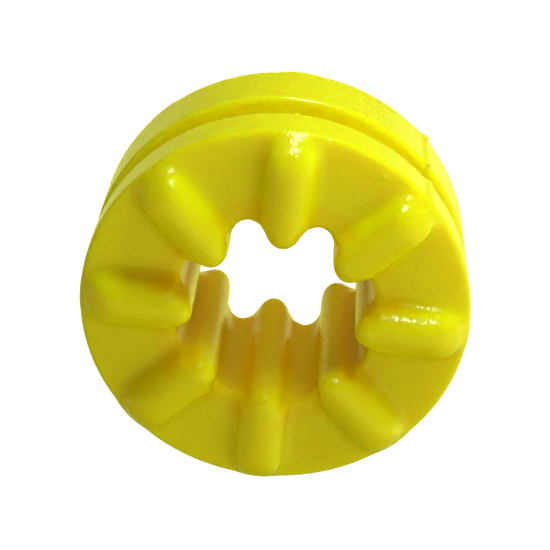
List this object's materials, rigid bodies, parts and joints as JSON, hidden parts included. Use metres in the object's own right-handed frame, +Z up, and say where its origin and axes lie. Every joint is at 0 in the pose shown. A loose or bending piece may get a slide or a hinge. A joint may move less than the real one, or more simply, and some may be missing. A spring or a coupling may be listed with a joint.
{
  "type": "polyurethane coupling element",
  "caption": "One-piece polyurethane elastic element for a shaft coupling: thick ring with a grooved rim, a lobed bore and rounded radial ribs on both faces.",
  "frame": {"origin": "centre of the bounding box, on the bore's axis, midway between the rib crests of the two faces", "axes": "+Y runs along the bore's axis from the front face to the rear face, +Z points up with a rib straight up, +X to the right seen from the front; the ring stands on its rim"},
  "size_m": [0.06, 0.0354, 0.06],
  "materials": {
    "urethane": "gloss"
  },
  "bodies": {
    "root": {"flexible_element": "urethane"}
  },
  "joints": []
}
